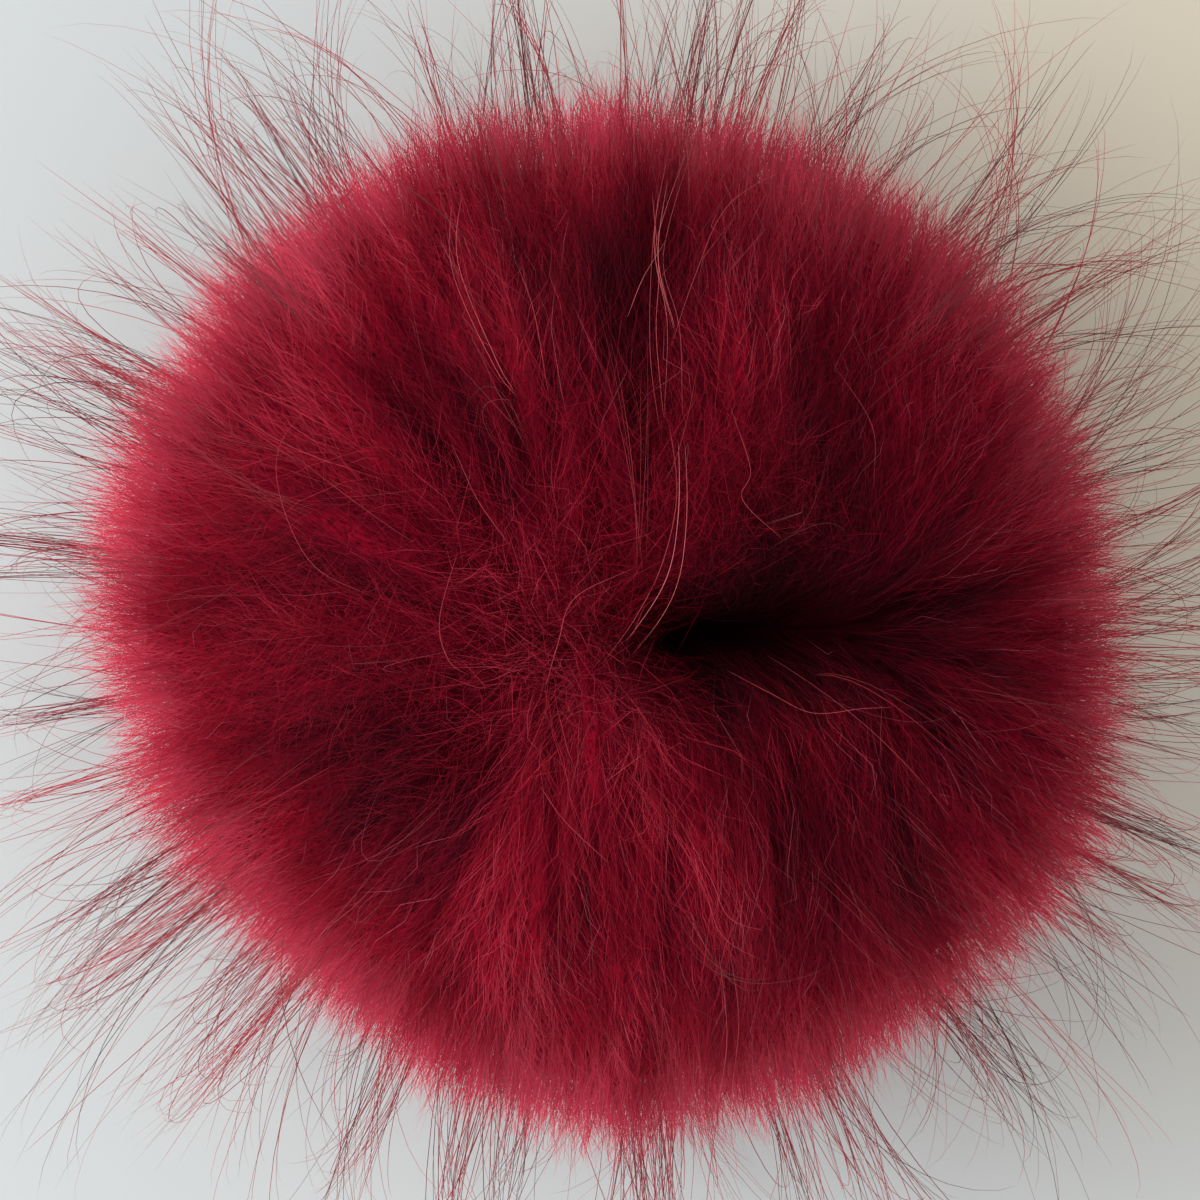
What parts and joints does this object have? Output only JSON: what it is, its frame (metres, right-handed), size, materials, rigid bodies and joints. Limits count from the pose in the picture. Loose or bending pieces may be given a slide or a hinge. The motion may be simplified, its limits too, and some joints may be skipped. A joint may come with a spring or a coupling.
{
  "type": "fur pom pom",
  "caption": "Round dyed fur pom pom with dense underfur, a parting in its top and long guard hair all round, resting on a small flat spot.",
  "frame": {"origin": "centre of the flat spot that the ball rests on", "axes": "+Z up out of the ball's top, where the parting is; seen from above, +X is to the right along the parting and +Y is up"},
  "size_m": [0.1521, 0.1506, 0.1171],
  "materials": {
    "fur": "dyed crimson fur, soft and matt underfur, with glossier pink, brown and grey guard hair"
  },
  "bodies": {
    "root": {"pom_pom": "fur"}
  },
  "joints": []
}
